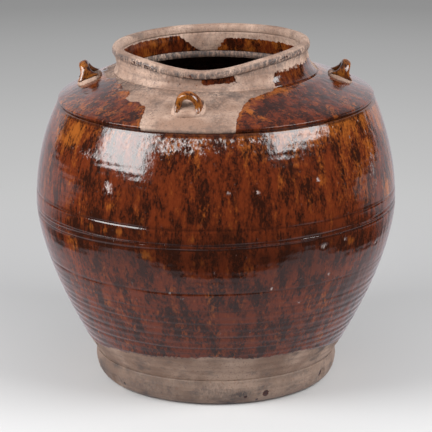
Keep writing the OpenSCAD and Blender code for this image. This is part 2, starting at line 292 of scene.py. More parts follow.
class Mesh:
    """Makes closed meshes from rings of points and keeps named values on them."""

    @staticmethod
    def build(name: str, verts: Array, faces: Array, values: Dict[str, Array]) -> bpy.types.Object:
        """Makes an object.

        Args:
            name: Name of the piece.
            verts: Points in millimetres, one to a row.
            faces: Corner numbers, one face to a row.
            values: One number to a point, for the finish to read.

        Returns:
            The new object, linked to the scene.
        """
        mesh = bpy.data.meshes.new(name)
        rows = faces.tolist() if isinstance(faces, np.ndarray) else faces
        mesh.from_pydata((verts * MM).tolist(), [], rows)
        for key, data in values.items():
            layer = mesh.attributes.new(key, "FLOAT", "POINT")
            layer.data.foreach_set("value", np.ascontiguousarray(data, dtype=np.float32).ravel())
        mesh.polygons.foreach_set("use_smooth", [True] * len(mesh.polygons))
        mesh.update()
        obj = bpy.data.objects.new(name, mesh)
        bpy.context.scene.collection.objects.link(obj)
        return obj

    @staticmethod
    def torus_faces(rows: int, cols: int) -> Array:
        """Faces of a grid that closes both ways."""
        i, j = np.meshgrid(np.arange(rows), np.arange(cols), indexing="ij")
        a, b = i * cols + j, i * cols + (j + 1) % cols
        c, d = ((i + 1) % rows) * cols + (j + 1) % cols, ((i + 1) % rows) * cols + j
        return np.stack([a, b, c, d], axis=-1).reshape(-1, 4)

    @classmethod
    def turned(cls, name: str, az: Array, r: Array, z: Array, values: Dict[str, Array],
               shift: Array | float = 0.0) -> bpy.types.Object:
        """Piece turned round the axis from a closed section, with its own radius and height at each point."""
        x = r * np.sin(np.radians(az)) + shift
        y = -r * np.cos(np.radians(az))
        verts = np.stack([x, y, np.broadcast_to(z, x.shape)], axis=-1).reshape(-1, 3)
        return cls.build(name, verts, cls.torus_faces(*x.shape), values)


def azimuths(steps: int) -> Array:
    """Equal steps round the jar, as a row."""
    return (np.arange(steps) * TURN / steps - TURN / 2)[None, :]


class Nodes:
    """Short way to add and join shader nodes in a tree."""

    def __init__(self, tree: bpy.types.NodeTree) -> None:
        """Keeps the tree."""
        self.tree = tree

    def add(self, kind: str, settings: Dict[str, object] | None = None, **inputs: object) -> bpy.types.Node:
        """Adds a node.

        Args:
            kind: Node type.
            settings: Properties of the node.
            inputs: Socket numbers as "i0" and so on, with a value or a socket to join.

        Returns:
            The new node.
        """
        node = self.tree.nodes.new(kind)
        for key, value in (settings or {}).items():
            setattr(node, key, value)
        for key, value in inputs.items():
            socket = node.inputs[int(key[1:])]
            if isinstance(value, bpy.types.NodeSocket):
                self.tree.links.new(value, socket)
            else:
                socket.default_value = value
        return node

    def math(self, what: str, a: object, b: object = 0.0, clamp: bool = False) -> bpy.types.NodeSocket:
        """Result of a sum on two values."""
        return self.add("ShaderNodeMath", {"operation": what, "use_clamp": clamp}, i0=a, i1=b).outputs[0]

    def mix(self, share: object, a: object, b: object) -> bpy.types.NodeSocket:
        """Blend of two colours."""
        node = self.add("ShaderNodeMix", {"data_type": "RGBA"})
        for index, value in ((0, share), (6, a), (7, b)):
            if isinstance(value, bpy.types.NodeSocket):
                self.tree.links.new(value, node.inputs[index])
            else:
                node.inputs[index].default_value = value
        return node.outputs[2]

    def noise(self, point: bpy.types.NodeSocket, stretch: Tuple[float, float, float], scale: float,
              detail: float, rough: float = 0.55) -> bpy.types.NodeSocket:
        """Noise at a place, stretched along the axes."""
        spot = self.add("ShaderNodeMapping", None, i0=point, i3=stretch)
        node = self.add("ShaderNodeTexNoise", None, i0=spot.outputs[0])
        node.inputs["Scale"].default_value = scale
        node.inputs["Detail"].default_value = detail
        node.inputs["Roughness"].default_value = rough
        return node.outputs[0]

    def step(self, value: object, start: float, end: float) -> bpy.types.NodeSocket:
        """Soft step from 0 at start to 1 at end."""
        node = self.add("ShaderNodeMapRange", {"interpolation_type": "SMOOTHSTEP"}, i0=value, i1=start, i2=end)
        return node.outputs[0]

    def named(self, name: str) -> bpy.types.NodeSocket:
        """Value kept on the mesh under a name."""
        return self.add("ShaderNodeAttribute", {"attribute_name": name}).outputs["Fac"]


Colour = Tuple[float, float, float, float]


class ShaderGroups:
    """The two effects that several finishes share, each built once."""

    def __init__(self) -> None:
        """Builds both groups."""
        self.clay = self._clay()
        self.glaze = self._glaze()

    @staticmethod
    def _shell(name: str, inputs: Sequence[Tuple[str, str]], outputs: Sequence[Tuple[str, str]]) -> bpy.types.NodeTree:
        """Makes an empty group with named sockets."""
        tree = bpy.data.node_groups.new(name, "ShaderNodeTree")
        for title, kind in inputs:
            tree.interface.new_socket(title, in_out="INPUT", socket_type=kind)
        for title, kind in outputs:
            tree.interface.new_socket(title, in_out="OUTPUT", socket_type=kind)
        return tree

    def _clay(self) -> bpy.types.NodeTree:
        """Fired clay: speckle, grey smoke stains, wheel lines and fine grit."""
        tree = self._shell("Fired clay", (("Clay", "NodeSocketColor"), ("Pale", "NodeSocketColor"), ("Smoke", "NodeSocketColor"),
                                          ("Stain", "NodeSocketFloat")), (("Colour", "NodeSocketColor"), ("Height", "NodeSocketFloat")))
        n = Nodes(tree)
        given = n.add("NodeGroupInput")
        point = n.add("ShaderNodeTexCoord").outputs["Object"]
        broad = n.noise(point, (1, 1, 1), 26.0, 4.0)
        fine = n.noise(point, (1, 1, 1), 420.0, 3.0, 0.7)
        wheel = n.noise(point, (1, 1, 22), 9.0, 3.0, 0.6)
        base = n.mix(n.step(broad, 0.36, 0.66), given.outputs[0], given.outputs[1])
        smoke = n.math("MULTIPLY", n.step(n.noise(point, (1, 1, 1.6), 34.0, 4.0, 0.65), 0.52, 0.72), given.outputs[3])
        base = n.mix(smoke, base, given.outputs[2])
        base = n.mix(n.math("MULTIPLY", n.step(fine, 0.56, 0.72), 0.62), base, given.outputs[2])
        base = n.mix(n.math("MULTIPLY", n.step(wheel, 0.52, 0.7), 0.28), base, given.outputs[2])
        height = n.math("ADD", n.math("MULTIPLY", fine, 0.55), n.math("MULTIPLY", wheel, 0.7))
        out = n.add("NodeGroupOutput")
        tree.links.new(base, out.inputs[0])
        tree.links.new(height, out.inputs[1])
        return tree

    def _glaze(self) -> bpy.types.NodeTree:
        """Iron glaze: upright streaks, mottling and an uneven, pitted skin."""
        tree = self._shell("Iron glaze", (("Deep", "NodeSocketColor"), ("Body", "NodeSocketColor"), ("Amber", "NodeSocketColor"),
                                          ("Thin", "NodeSocketFloat"), ("Pooled", "NodeSocketFloat")),
                           (("Colour", "NodeSocketColor"), ("Height", "NodeSocketFloat")))
        n = Nodes(tree)
        given = n.add("NodeGroupInput")
        point = n.add("ShaderNodeTexCoord").outputs["Object"]
        runs = n.noise(point, (1, 1, 0.16), 130.0, 4.0, 0.66)
        fine = n.noise(point, (1, 1, 0.42), 460.0, 3.0, 0.75)
        mottle = n.noise(point, (1, 1, 0.5), 62.0, 4.0, 0.66)
        tone = n.math("ADD", n.math("MULTIPLY", runs, 0.5), n.math("MULTIPLY", fine, 0.5))
        body = n.mix(n.step(n.math("ADD", n.math("MULTIPLY", tone, 0.6), n.math("MULTIPLY", mottle, 0.4)), 0.43, 0.57),
                     given.outputs[0], given.outputs[1])
        uneven = n.math("MULTIPLY", n.math("SUBTRACT", tone, 0.5), 3.0)
        thin = n.step(n.math("ADD", given.outputs[3], uneven), 0.22, 0.9)
        body = n.mix(thin, body, given.outputs[2])
        dark = n.mix(n.math("MULTIPLY", given.outputs[4], 0.9, True), body, given.outputs[0])
        peel = n.noise(point, (1, 1, 0.7), 170.0, 2.0, 0.5)
        height = n.math("ADD", n.math("MULTIPLY", peel, 0.8), n.math("MULTIPLY", fine, 0.35))
        out = n.add("NodeGroupOutput")
        tree.links.new(dark, out.inputs[0])
        tree.links.new(height, out.inputs[1])
        return tree


@dataclass(frozen=True)
class Finish:
    """Stoneware that is bare in places and glazed in others, as the values on the mesh say."""

    name: str
    deep: Colour = (0.022, 0.006, 0.003, 1)
    body: Colour = (0.118, 0.021, 0.006, 1)
    amber: Colour = (0.27, 0.076, 0.012, 1)
    clay: Colour = (0.29, 0.175, 0.122, 1)
    pale: Colour = (0.52, 0.36, 0.275, 1)
    # smoke is the colour of real smoke stains and also of the painted shade near the neck, under the rim roll and
    # inside the jar
    smoke: Colour = (0.060, 0.048, 0.045, 1)
    # ash is the colour of real kiln ash and also of the painted highlight streaks and sheen
    ash_and_sheen: Colour = (0.50, 0.42, 0.39, 1)
    rust: Colour = (0.16, 0.075, 0.045, 1)
    stain: float = 0.8
    gloss: float = 0.095
    dry: float = 0.72
    bump: float = 0.0005

    def make(self, groups: ShaderGroups) -> bpy.types.Material:
        """Builds the material.

        Args:
            groups: The shared effects.

        Returns:
            The material.
        """
        mat = bpy.data.materials.new(self.name)
        mat.use_nodes = True
        n = Nodes(mat.node_tree)
        shader = mat.node_tree.nodes["Principled BSDF"]
        clay = n.add("ShaderNodeGroup", {"node_tree": groups.clay}, i0=self.clay, i1=self.pale, i2=self.smoke, i3=self.stain)
        glaze = n.add("ShaderNodeGroup", {"node_tree": groups.glaze}, i0=self.deep, i1=self.body, i2=self.amber,
                      i3=n.named("thin"), i4=n.named("pooled"))
        point = n.add("ShaderNodeTexCoord").outputs["Object"]
        ragged = n.noise(point, (1, 1, 1), 300.0, 4.0, 0.7)
        inside = n.math("ADD", n.named("inside"), n.math("MULTIPLY", n.math("SUBTRACT", ragged, 0.5), 9.0))
        cover = n.step(inside, -0.5, 0.6)
        speck = n.noise(point, (1, 1, 0.5), 380.0, 3.0, 0.75)
        # Ash mask: real kiln ash and pits, and also painted highlight streaks on the wall and a painted sheen on the
        # shoulder.
        ash_and_sheen = n.step(n.math("ADD", n.named("ash_and_sheen"), n.math("MULTIPLY", n.math("SUBTRACT", speck, 0.5), 2.6)), 0.45, 1.15)
        # Soot mask: bare clay darkened to the smoke colour, for real smoke stains and for painted shade near the neck,
        # under the rim roll and inside the jar.
        soot_and_shade = n.math("MULTIPLY", n.named("soot_and_shade"), n.step(speck, 0.30, 0.62))
        clay_with_soot_and_shade = n.mix(soot_and_shade, clay.outputs[0], self.smoke)
        clay_with_soot_and_shade = n.mix(n.math("MULTIPLY", n.step(n.noise(point, (1, 1, 1), 520.0, 2.0, 0.6), 0.54, 0.68), 0.5), clay_with_soot_and_shade, self.rust)
        colour = n.mix(cover, clay_with_soot_and_shade, n.mix(n.math("MULTIPLY", ash_and_sheen, 0.75), glaze.outputs[0], self.ash_and_sheen))
        links = mat.node_tree.links
        links.new(colour, shader.inputs["Base Color"])
        matt = n.math("ADD", n.math("MULTIPLY", ash_and_sheen, 0.28), self.gloss)
        rough = n.add("ShaderNodeMapRange", None, i0=cover, i3=self.dry, i4=matt)
        links.new(rough.outputs[0], shader.inputs["Roughness"])
        height = n.add("ShaderNodeMapRange", None, i0=cover, i3=clay.outputs[1], i4=glaze.outputs[1])
        relief = n.math("SUBTRACT", height.outputs[0], n.math("MULTIPLY", ash_and_sheen, 0.8))
        bump = n.add("ShaderNodeBump", None, i0=0.5, i1=self.bump)
        links.new(relief, bump.inputs["Height"])
        links.new(bump.outputs[0], shader.inputs["Normal"])
        return mat


def dress(obj: bpy.types.Object, material: bpy.types.Material, node: str) -> None:
    """Gives a piece its finish and ties it to its node of the frame."""
    obj.data.materials.append(material)
    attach(obj, "root")
    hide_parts(node)
    LOG.info("%s: %d points", obj.name, len(obj.data.vertices))


@dataclass
class Body:
    """Base slab, foot band, the two thrown walls and the shoulder."""

    steps: int = 504
    inner_rows: int = 22
    glaze_t: float = 0.45
    ring_depth: float = 0.22
    ring_pitch: float = 7.3

    def wall_relief(self, az: Array, z: Array) -> Array:
        """Outward relief of the wall's face: wheel rings, cut lines, glaze coat, runs, pits and the scar."""
        rings = self.ring_depth * np.sin(2 * np.pi * (z + 1.2 * np.sin(np.radians(az))) / self.ring_pitch + 1.4 * grain(az, z, 6, 40, 51))
        out = rings * (0.12 + 0.88 * smooth(-z, -150, -90)) + 0.3 * layered(az, z, 5, 90.0, 53, 2)
        inside = COAT.wall_glaze(az, z)
        coat = smooth(inside, -0.4, 1.0)
        out = out + self.glaze_t * coat + 0.35 * np.exp(-((inside - 1.4) / 1.2) ** 2)
        rill = around(az, ((-180, 0.08), (-60, 0.03), (-10, 0.05), (14, 0.10), (30, 0.13), (44, 0.24), (80, 0.12)))
        out = out + coat * (rill * layered(az, z, 230, 30.0, 55) + 0.4 * rill * layered(az, z, 300, 7.0, 57, 2))
        for line in LINES:
            out = out - line.dip(az, z)
        for pit in PITS:
            near = pit.spread(az, z, 172)
            out = out - pit.depth * near ** 2 + 0.5 * pit.depth * near * (1 - near)
        near = SCAR.spread(az, z, 176)
        out = out - 0.5 * smooth(z, 270, 277) * np.clip(layered(az, z, 60, 9.0, 60), 0, 1) * np.exp(-(apart(az, -4) / 34) ** 2)
        return out + near * (0.9 * layered(az, z, 420, 4.0, 59) - 0.3)

    def wall(self, name: str, low: float, high: float, rows: int, top_z: float, foot_z: float) -> bpy.types.Object:
        """One thrown wall between two heights, with bevelled or flat ends."""
        az = azimuths(self.steps)
        z_out = np.linspace(low, high, rows)[:, None]
        z_in = np.linspace(top_z, foot_z, self.inner_rows)[:, None]
        r_out = PROFILE.wall_r(z_out) + self.wall_relief(az, z_out) * smooth(z_out, 26.5, 30)
        z_all = np.concatenate([np.broadcast_to(z_out, r_out.shape), np.broadcast_to(z_in, (self.inner_rows, self.steps))])
        r_in = PROFILE.bore_r(z_in) + 0.35 * np.sin(2 * np.pi * z_in / self.ring_pitch) + 0.0 * az
        r_all = np.concatenate([r_out, r_in])
        ones = np.ones_like(r_in)
        values = {
            "inside": np.concatenate([COAT.wall_glaze(az, z_out), 12 * ones]),
            "thin": np.concatenate([COAT.amber(az, z_out), 0.1 * ones]),
            "pooled": np.concatenate([COAT.dark(az, z_out), 0.5 * ones]),
            "ash_and_sheen": np.concatenate([COAT.ash_and_sheen(az, z_out), 0 * ones])}
        z_all = z_all + PROFILE.ridge_shift(az, z_all)
        return Mesh.turned(name, az + 0 * r_all, r_all, z_all, values)

    def shoulder(self) -> bpy.types.Object:
        """The domed cap, whose edge stands over the wall as a ridge."""
        az = azimuths(self.steps)
        t = np.linspace(0, 1, 52)[:, None] ** 0.9
        r, z, out_r, out_z = PROFILE.shoulder(t)
        inside = COAT.shoulder_glaze(az, r + 0 * az, z)
        coat = smooth(inside, -0.6, 1.0)
        bare = 1 - coat
        lift = self.glaze_t * coat + 0.3 * np.exp(-((inside - 1.0) / 1.3) ** 2) + 0.35 * layered(az, r * 1.0, 7, 60.0, 61)
        lift = lift + bare * (0.28 * layered(az, r, 150, 7.0, 63) + 0.25 * layered(az, r, 9, 5.5, 65, 2)) + coat * 0.1 * layered(az, r, 160, 8, 67)
        across = np.radians(apart(az, 13.5)) * 130
        blob = np.exp(-(across ** 2 + (r - 133) ** 2) / 3.6 ** 2)
        dent = np.exp(-((np.radians(apart(az, -72)) * 128) ** 2 / 60 + (r - 132) ** 2 / 16))
        lift = (lift + 1.5 * blob - 0.9 * dent) * smooth(1 - t, 0.0, 0.06)
        outer_r, outer_z = r + lift * out_r, z + lift * out_z
        skirt_r = np.array([153.4, 154.2, 154.9, 155.3])[:, None] + 0 * az
        skirt_z = np.array([282.0, 282.15, 282.6, 283.8])[:, None] + 0 * az
        ti = np.linspace(0.97, 0.12, self.inner_rows)[:, None]
        ri, zi, ni, mi = PROFILE.shoulder(ti)
        inner_r, inner_z = ri - PROFILE.wall_t * ni + 0 * az, zi - PROFILE.wall_t * mi + 0 * az
        throat_r = np.array([PROFILE.throat_r, PROFILE.throat_r])[:, None] + 0 * az
        throat_z = np.array([309.5, 303.0])[:, None] + 0 * az
        end_r = np.array([147.4])[:, None] + 0 * az
        end_z = np.array([282.0])[:, None] + 0 * az
        r_all = np.concatenate([skirt_r, outer_r, throat_r, inner_r, end_r])
        z_all = np.concatenate([skirt_z, outer_z, throat_z, inner_z, end_z])
        lip, rest = np.ones_like(skirt_r), np.ones((self.inner_rows + 3, self.steps))
        thin = 0.2 + 0.35 * layered(az, r, 60, 18.0, 71) + 0.9 * blob + 0.35 * np.exp(-((inside - 4) / 5) ** 2)
        # sheen: a painted reflection of the pale room above and behind, on the left of the shoulder, given as pale ash
        # colour
        sheen = 0.25 * smooth(np.abs(apart(az, -60)), 60, 10)
        # Soot on the shoulder: real smoke speckle, and painted shade round the foot of the neck, under the rim roll.
        soot_and_shade = 0.26 + 0.4 * smooth(layered(az, r, 50, 12, 75), -0.1, 0.7) + 0.35 * smooth(-r, -112, -103)
        soot_and_shade = soot_and_shade + 0.45 * np.exp(-(apart(az, -58) / 20) ** 2) * smooth(layered(az, r, 110, 6, 77), -0.2, 0.4)
        soot_and_shade = soot_and_shade * (1 - 0.8 * np.exp(-(apart(az, -13) / 11) ** 2) * smooth(r, 118, 128))
        # The rows inside the jar are bare clay with full soot: painted shade that makes the interior nearly black.
        values = {
            "soot_and_shade": np.clip(np.concatenate([0.6 * lip, soot_and_shade, 1.4 * rest]), 0, 1),
            "inside": np.concatenate([lip * np.minimum(12, COAT.shoulder_glaze(az, 156 + 0 * az, 0)), np.maximum(inside, 9 * blob * 2 - 8), -12 * rest]),
            "thin": np.clip(np.concatenate([0.2 * lip, thin, 0.1 * rest]), 0, 1),
            "pooled": np.clip(np.concatenate([0.7 * lip, 0.4 * dent + 0 * r, 0.6 * rest]), 0, 1),
            "ash_and_sheen": np.clip(np.concatenate([0 * lip, 0.35 * smooth(layered(az, r, 90, 9, 73), 0.2, 0.8) * bare + sheen * 0.2, 0 * rest]), 0, 1)}
        z_all = z_all + PROFILE.ridge_shift(az, z_all)
        return Mesh.turned("dressed_shoulder", az + 0 * r_all, r_all, z_all, values)

    def foot_band(self) -> bpy.types.Object:
        """The band smoothed round the bottom, with wheel lines, cuts, chips and a gouge."""
        az = azimuths(self.steps)
        q = np.linspace(0, np.pi / 2, 30)
        r = np.concatenate([107.5 + 13.3 * np.sin(q), np.linspace(120.7, 120.1, 5)])[:, None]
        z = np.concatenate([20 * (1 - np.cos(q)), np.linspace(21, 27, 5)])[:, None]
        chips = (Mark(-56, 9, 7.5, 1.6), Mark(61, 13, 6.5, 2.4), Mark(50, 9, 5.0, 1.0), Mark(-8, 10, 2.0, 0.9),
                 Mark(-4, 10, 2.0, 0.9), Mark(-18, 8, 2.4, 0.7), Mark(5, 6, 2.2, 0.7), Mark(120, 12, 6.0, 1.4))
        lift = 0.5 * layered(az, z, 8, 18.0, 81) + 0.22 * layered(az, z, 120, 5.0, 83)
        lift = lift + 0.2 * np.sin(2 * np.pi * z / 3.1 + 1.2 * grain(az, z, 8, 14, 85))
        for chip in chips:
            near = chip.spread(az, z, 117)
            lift = lift - chip.depth * smooth(near, 0.35, 0.6)
        outer = r + lift * smooth(z, 0.0, 3.0)
        inner_z = np.linspace(27, 0, 8)[:, None]
        inner = PROFILE.wall_r(inner_z) + 0.05 + 0 * az
        r_all = np.concatenate([outer, inner])
        z_all = np.concatenate([z + 0 * az, inner_z + 0 * az])
        flat = np.full_like(r_all, -12.0)
        spots = (Mark(24, 11, 5.5, 0), Mark(61, 14, 6.0, 0), Mark(-49, 10, 2.6, 0), Mark(14, 9, 3.0, 0), Mark(20, 4, 2.6, 0))
        brown = np.concatenate([sum(s.spread(az, z, 117) for s in spots) * 14.0 - 9.5, flat[:8]])
        smudges = (Mark(-30, 17, 7.0, 0), Mark(-22, 15, 6.0, 0), Mark(12, 12, 5.5, 0), Mark(61, 15, 6.5, 0), Mark(-52, 11, 3.0, 0))
        # Soot starts only from about 4 mm up, so the bottom edge stays lighter: a painted highlight on the rounded
        # lower edge. The smudges are real.
        soot_and_shade = 0.12 + 0.5 * smooth(layered(az, z, 26, 12.0, 87), 0.0, 0.7) * smooth(z, 4, 10)
        soot_and_shade = soot_and_shade + sum(m.spread(az, z, 117) for m in smudges) * 0.6
        soot_and_shade = soot_and_shade - 0.7 * Mark(-57, 9, 6.5, 0).spread(az, z, 117)
        values = {"inside": brown, "thin": 0 * flat, "pooled": 0 * flat + 0.8, "ash_and_sheen": 0 * flat,
                  "soot_and_shade": np.clip(np.concatenate([soot_and_shade, 0.3 + 0 * inner]), 0, 1)}
        return Mesh.turned("dressed_foot_band", az + 0 * r_all, r_all, z_all, values)

    def slab(self) -> bpy.types.Object:
        """The disc that closes the bottom, scraped slightly hollow underneath."""
        steps = 192
        az = azimuths(steps)
        r = np.array([4, 30, 60, 80, 84, 101.8, 106.0, 4])[:, None]
        z = np.array([2.5, 2.2, 1.2, 0.3, 0.0, 0.0, 10.0, 10.0])[:, None]
        x = r * np.sin(np.radians(az))
        y = -r * np.cos(np.radians(az))
        verts = np.stack([x, y, z + 0 * x], axis=-1).reshape(-1, 3)
        rows = [f for f in Mesh.torus_faces(len(r), steps).tolist() if max(f) - min(f) <= 2 * steps]
        rows.append(list(range(steps))[::-1])
        rows.append(list(range((len(r) - 1) * steps, len(r) * steps)))
        count = len(verts)
        flat = {"inside": np.full(count, -12.0), "thin": np.zeros(count), "pooled": np.zeros(count), "ash_and_sheen": np.zeros(count)}
        return Mesh.build("dressed_base_slab", verts, rows, flat)

    def build(self, glazed: bpy.types.Material, walled: bpy.types.Material, footed: bpy.types.Material) -> None:
        """Makes and dresses the five pieces."""
        dress(self.slab(), footed, "base_slab")
        dress(self.foot_band(), footed, "foot_band")
        dress(self.wall("dressed_lower_wall", 10, 180, 172, 185, 10), walled, "lower_wall")
        dress(self.wall("dressed_upper_wall", 180.02, 281.9, 104, 282, 185), walled, "upper_wall")
        dress(self.shoulder(), glazed, "shoulder")


@dataclass
class Mouth:
    """The short neck and the rolled rim on it."""

    steps: int = 480

    def neck(self) -> bpy.types.Object:
        """The drawn-in neck, glazed inside but for a bare triangle at the back."""
        az = azimuths(self.steps)
        top = PROFILE.rim_mid(az) - 3.5
        low = PROFILE.neck_seat_z
        share = np.linspace(0, 1, 14)[:, None]
        sweep = 0.6
        flare = np.clip(1 - (share / sweep) ** (1 / 1.3), 0, 1) ** 2
        lump = 0.4 * layered(az, share * 20, 9, 14, 91) + 0.2 * layered(az, share * 20, 90, 5, 93)
        outer = PROFILE.neck_r + 6.0 * flare + lump * smooth(share, 0.0, 0.2) * (1 - smooth(share, 0.92, 1.0))
        down = np.linspace(1, 0, 14)[:, None]
        inner = PROFILE.neck_r - PROFILE.neck_t + 2.5 * np.clip(1 - down / sweep, 0, 1) + 0.25 * layered(az, down * 20, 30, 8, 95)
        r_all = np.concatenate([outer + 0 * az, inner + 0 * az])
        height = np.concatenate([share, down])
        z_all = low + (top - low) * height
        shift = PROFILE.mouth_shift * height ** 0.8
        right = smooth(np.abs(apart(az, 62)), 30, 22) * 9 - 3
        patch = smooth(np.abs(apart(az, 4)), 12, 8) * 10 - 5 - 8 * (share - 0.75)
        outside = np.maximum(right * (1 - share) * 1.6 - 4 * share - 1, patch * smooth(share, 0.45, 0.8) - 2 * (1 - share))
        wedge = np.abs(apart(az, 185)) - 12.5 * (0.4 + down)
        lip = np.where(np.sin(np.radians(az)) > 0.15, 0.70, 0.94)
        within = np.minimum(wedge * 1.5, (lip - down) * 30)
        values = {"inside": np.concatenate([outside + 0 * share, within + 0 * az]),
                  "thin": np.clip(np.concatenate([0.3 + 0 * share * az, 0.35 + 0.5 * layered(az, down * 20, 30, 12, 97)]), 0, 1),
                  "pooled": np.concatenate([0.35 + 0 * share * az, 0.35 * (1 - down) + 0 * az]),
                  "ash_and_sheen": np.zeros_like(r_all),
                  # The soot value rises towards the top of the neck: painted shade under the rim roll, over real smoke
                  # speckle.
                  "soot_and_shade": np.clip(np.concatenate([0.25 + 0.5 * smooth(share, 0.7, 1) + 0.3 * layered(az, share * 20, 40, 8, 98),
                                                  0.35 + 0 * down * az]), 0, 1)}
        return Mesh.turned("dressed_neck_collar", az + 0 * r_all, r_all, z_all, values, shift)

    def rim(self) -> bpy.types.Object:
        """The coil rolled on the neck, pinched and lumpy, flat where it sits."""
        az = azimuths(self.steps)
        mid = PROFILE.rim_mid(az)
        b = np.radians(np.linspace(-36, 216, 26))[:, None]
        soft = 0.85
        cos = np.sign(np.cos(b)) * np.abs(np.cos(b)) ** soft
        sin = np.sign(np.sin(b)) * np.abs(np.sin(b)) ** soft
        lump = 1 + 0.045 * layered(az, b * 4, 16, 12, 101) + 0.02 * layered(az, b * 4, 120, 3, 103)
        r = PROFILE.roll_mid_r + PROFILE.roll_w / 2 * cos * lump
        z = mid + PROFILE.roll_h / 2 * sin * lump
        groove = 0.5 * np.exp(-((np.degrees(b) - 25) / 9) ** 2) + 0.35 * np.exp(-((np.degrees(b) - 70) / 8) ** 2)
        r = r - groove * np.cos(b)
        z = z - groove * np.sin(b)
        # The outer and under side of the roll is darker: real mottled glaze and soot, and painted shade on the
        # underside.
        dark = smooth(np.degrees(b), 50, 12) * (0.35 + 0.65 * smooth(layered(az, b * 3, 30, 3, 105), -0.3, 0.4))
        values = {"inside": dark * 8 - 8.0, "thin": 0 * r, "pooled": 0 * r + 0.75, "ash_and_sheen": 0 * r + 0.45,
                  "soot_and_shade": np.clip(dark * 1.3 + 0.28, 0, 1)}
        return Mesh.turned("dressed_rim_roll", az + 0 * r, r, z, values, PROFILE.mouth_shift)

    def build(self, mouth: bpy.types.Material) -> None:
        """Makes and dresses the neck and the rim."""
        dress(self.neck(), mouth, "neck_collar")
        dress(self.rim(), mouth, "rim_roll")


@dataclass
class Lug:
    """A glazed loop on its bare pad of clay."""

    side: str
    az: float
    r: float
    pad_half: Tuple[float, float] = (16.5, 13.5)
    pad_t: float = 4.0
    loop_w: float = 26.0
    loop_h: float = 16.0
    loop_t: float = 7.0
    strap_w: float = 9.4
    foot_l: float = 22.5
    drag: float = 1.6

    def place(self, local: Array) -> Array:
        """Turns points from the pad's own frame to the jar's."""
        t = np.linspace(0, 1, 2001)
        r, z, out_r, out_z = PROFILE.shoulder(t)
        k = int(np.argmin(np.abs(r - self.r)))
        nr, nz = float(out_r[k]), float(out_z[k])
        across, along, up = local[:, 0], local[:, 1], local[:, 2] - nr * local[:, 0] ** 2 / (2 * self.r)
        radial = float(r[k]) - along * nz + up * nr
        height = float(z[k]) + along * nr + up * nz
        a = np.radians(self.az)
        return np.stack([radial * np.sin(a) + across * np.cos(a), -radial * np.cos(a) + across * np.sin(a), height], axis=-1)

    def pad(self, finish: bpy.types.Material) -> None:
        """The pressed pad, soft-edged and a little uneven."""
        cols, rings = 72, 14
        a = np.linspace(0, 2 * np.pi, cols, endpoint=False)
        rho = np.linspace(0.08, 1, rings)[:, None]
        cx = np.sign(np.cos(a)) * np.abs(np.cos(a)) ** 0.62
        cy = np.sign(np.sin(a)) * np.abs(np.sin(a)) ** 0.62
        wave = 1 - 0.03 * (1 + layered(np.degrees(a), a * 0 + self.az, 9, 10, 111))
        x, y = self.pad_half[0] * rho * cx * wave, self.pad_half[1] * rho * cy * wave
        z = self.pad_t * (1 - rho ** 7) ** 0.6 + 0.25 * layered(np.degrees(a), rho * 20, 16, 6, 113) * (1 - rho ** 4)
        under = np.stack([x[-1], y[-1], np.full(cols, -1.2)], axis=-1)
        verts = np.concatenate([np.stack([x, y, z], axis=-1).reshape(-1, 3), under])
        count = rings + 1
        faces = [f for f in Mesh.torus_faces(count, cols).tolist() if max(f) - min(f) <= 2 * cols]
        faces += [list(range(cols))[::-1], list(range((count - 1) * cols, count * cols))]
        total = len(verts)
        values = {"inside": np.full(total, -10.0), "thin": np.zeros(total), "pooled": np.zeros(total), "ash_and_sheen": np.zeros(total)}
        obj = Mesh.build("dressed_lug_pad_" + self.side, self.place(verts), faces, values)
        fix_normals(obj)
        dress(obj, finish, "lug_pad_" + self.side)

    def loop(self, finish: bpy.types.Material) -> None:
        """The strap arched over the pad, its ends pressed out into two feet."""
        rows, cols = 64, 28
        u = np.radians(np.linspace(0, 180, rows))[:, None]
        b = np.linspace(0, 2 * np.pi, cols, endpoint=False)[None, :]
        low = (1 - np.sin(u)) ** 3
        uneven = 1 + 0.05 * layered(np.degrees(u) + self.az, 0 * u + b * 3, 14, 3, 121)
        half_w = (self.strap_w / 2 + (self.foot_l - self.strap_w) / 2 * low) * uneven
        half_t = self.loop_t / 2 * (1 - 0.18 * low) * uneven
        cb = np.sign(np.cos(b)) * np.abs(np.cos(b)) ** 0.85
        sb = np.sign(np.sin(b)) * np.abs(np.sin(b)) ** 0.85
        reach, rise = (self.loop_w - self.loop_t) / 2, self.loop_h - self.loop_t / 2
        x = -reach * np.cos(u) + np.where(np.cos(u) < 0, self.drag * low, 0) - half_t * cb * np.cos(u)
        z = self.pad_t - 0.2 + rise * np.sin(u) + half_t * cb * np.sin(u)
        y = half_w * sb + 0 * u
        verts = np.stack([x, y, z], axis=-1).reshape(-1, 3)
        faces = [f for f in Mesh.torus_faces(rows, cols).tolist() if max(f) - min(f) <= 2 * cols]
        faces += [list(range(cols))[::-1], list(range((rows - 1) * cols, rows * cols))]
        total = len(verts)
        thin = np.clip(0.55 + 0.5 * layered(np.degrees(u) + self.az, b * 4 + 0 * u, 20, 4, 123), 0, 1)
        values = {"inside": np.full(total, 12.0), "thin": thin, "pooled": 0.3 * low + 0 * b, "ash_and_sheen": np.zeros(total)}
        obj = Mesh.build("dressed_lug_loop_" + self.side, self.place(verts), faces, values)
        fix_normals(obj)
        dress(obj, finish, "lug_loop_" + self.side)


def fix_normals(obj: bpy.types.Object) -> None:
    """Turns every face of a closed mesh outwards."""
    import bmesh
    work = bmesh.new()
    work.from_mesh(obj.data)
    bmesh.ops.recalc_face_normals(work, faces=work.faces)
    work.to_mesh(obj.data)
    work.free()


